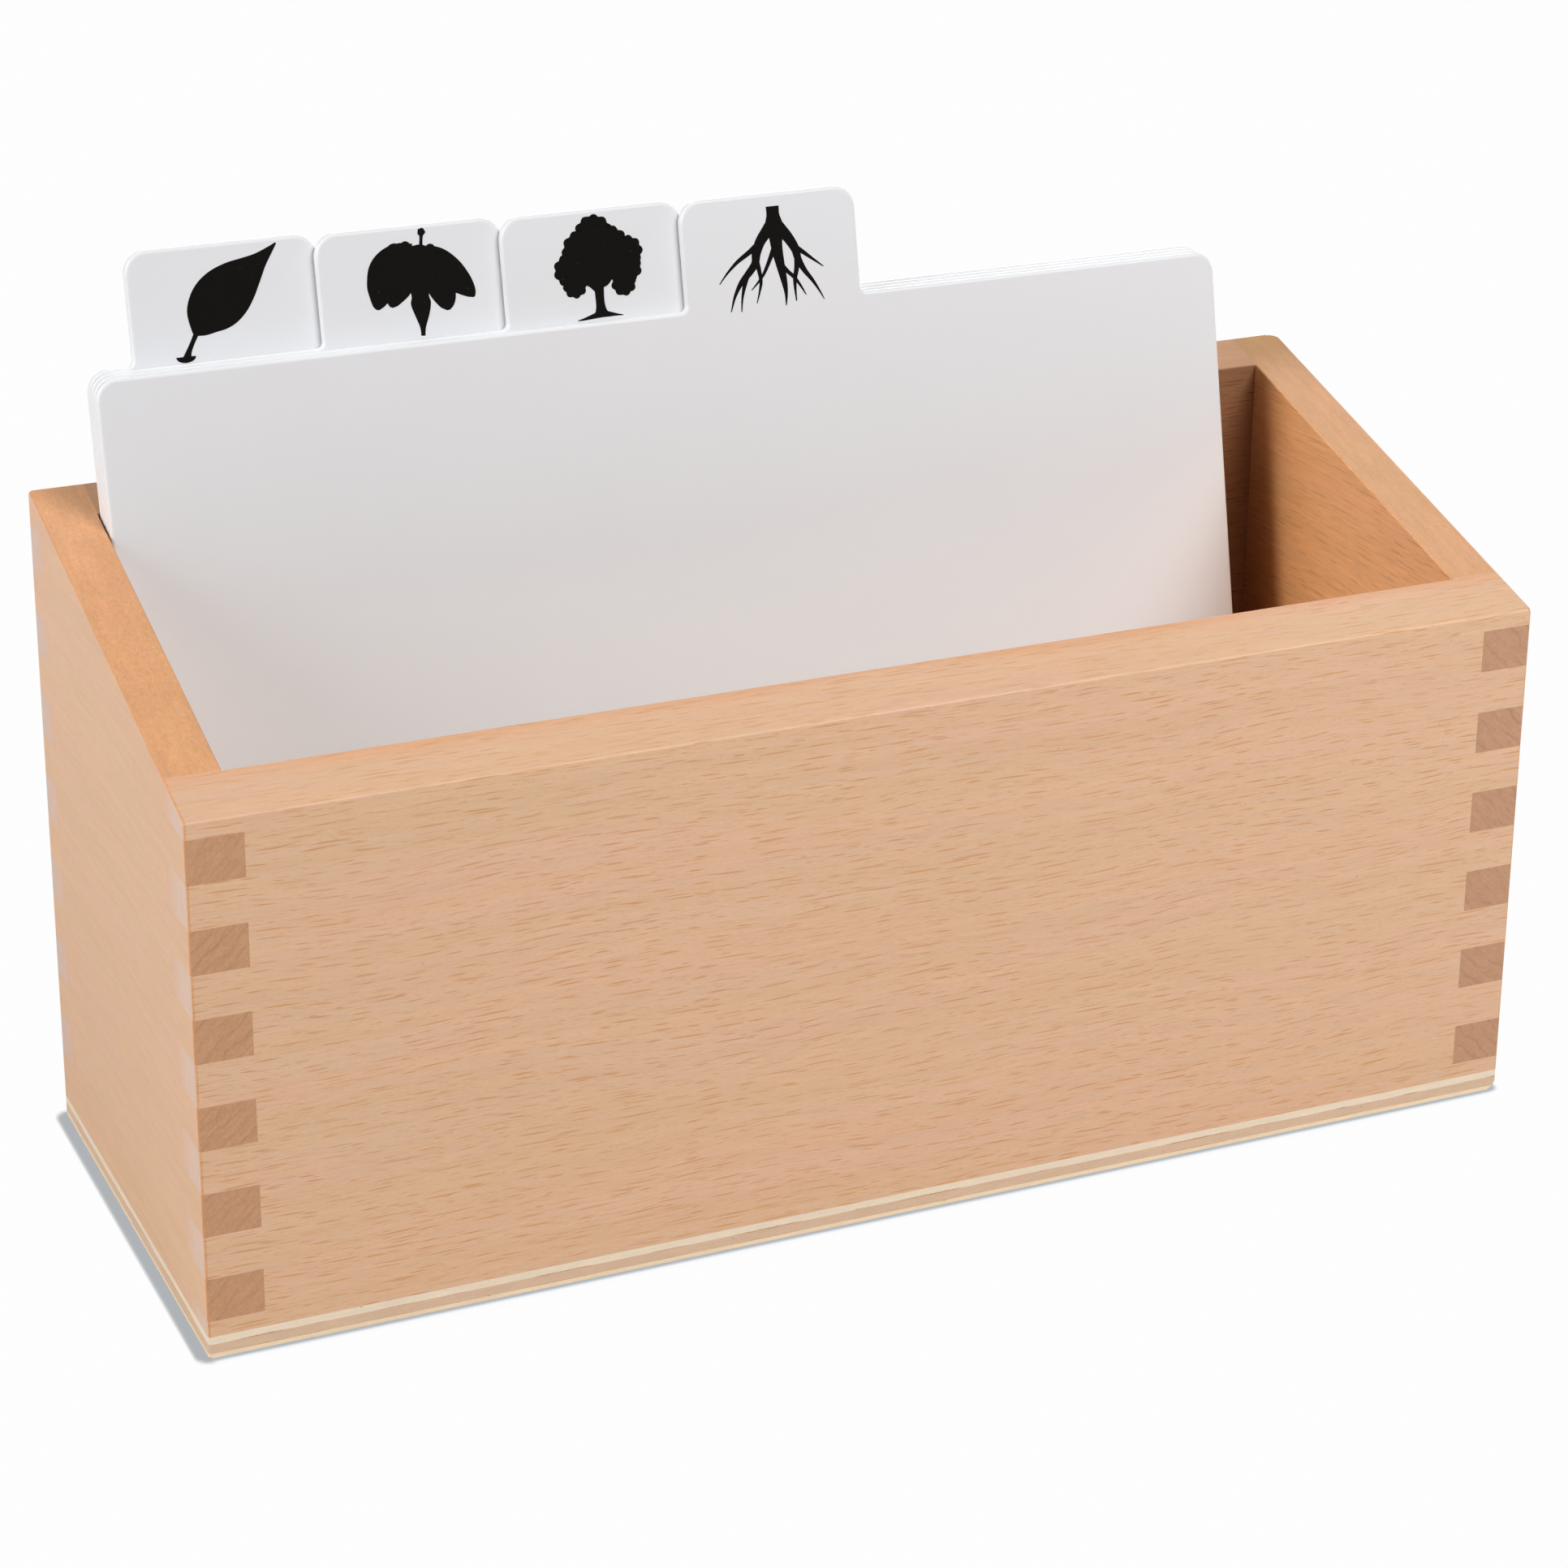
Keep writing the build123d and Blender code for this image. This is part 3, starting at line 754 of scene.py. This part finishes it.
def makeWorld():
    # a faint even light, which the camera and reflections see as white
    world = bpy.data.worlds.new("studio")
    bpy.context.scene.world = world
    world.use_nodes = True
    tree = world.node_tree
    rays = put(tree, "ShaderNodeLightPath").outputs
    mirrored = calc(tree, "MAXIMUM", rays["Is Glossy Ray"], rays["Is Transmission Ray"])
    seen = calc(tree, "MAXIMUM", rays["Is Camera Ray"], mirrored)
    strength = put(tree, "ShaderNodeMix", {0: seen, 2: stage["world"], 3: 1.0}).outputs[0]
    tree.links.new(strength, tree.nodes["Background"].inputs["Strength"])
    tree.nodes["Background"].inputs["Color"].default_value = (1, 1, 1, 1)


# azimuth turns from the front to the right, and both angles are in degrees
# level is what the lamp alone gives a white face turned square to it
lamps = dict(
    left=dict(azimuth=-90.0, height=29.0, distance=1.5, size=0.75, level=0.60),
    right=dict(azimuth=30.0, height=40.0, distance=1.6, size=0.85, level=0.74),
    back=dict(azimuth=155.0, height=15.0, distance=1.6, size=0.8, level=0.40),
)


def makeLamps():
    # square lamps that look at the origin, with energy = level * (pi * distance)^2
    for name, lamp in lamps.items():
        turn, rise = math.radians(lamp["azimuth"]), math.radians(lamp["height"])
        toward = Vector((math.sin(turn) * math.cos(rise), -math.cos(turn) * math.cos(rise), math.sin(rise)))
        light = bpy.data.lights.new(name, "AREA")
        light.size = lamp["size"]
        light.energy = lamp["level"] * (math.pi * lamp["distance"]) ** 2
        holder = bpy.data.objects.new(name + "Lamp", light)
        holder.location = toward * lamp["distance"]
        holder.rotation_euler = toward.to_track_quat("Z", "Y").to_euler()
        bpy.context.scene.collection.objects.link(holder)


# place in metres, aim and roll from the photograph's corners
camera = dict(
    place=(-0.2801, -0.6327, 0.3603), forward=(0.3767, 0.8550, -0.3565), roll=0.425,
    lens=93.70, sensor=36.0, shiftUp=-0.0999,
)


def makeCamera():
    # looks along forward, turned by roll about it
    lens = bpy.data.cameras.new("camera")
    lens.sensor_width = camera["sensor"]
    lens.lens = camera["lens"]
    lens.shift_y = camera["shiftUp"]
    lens.clip_end = 20.0
    holder = bpy.data.objects.new("camera", lens)
    turned = Vector(camera["forward"]).to_track_quat("-Z", "Y").to_matrix()
    roll = Matrix.Rotation(math.radians(camera["roll"]), 3, "Z")
    holder.matrix_world = Matrix.Translation(camera["place"]) @ (turned @ roll).to_4x4()
    bpy.context.scene.collection.objects.link(holder)
    bpy.context.scene.camera = holder


makeFloor()
makeWorld()
makeLamps()
makeCamera()
bpy.context.scene.view_settings.view_transform = "Standard"
print("stage, lamps and camera")
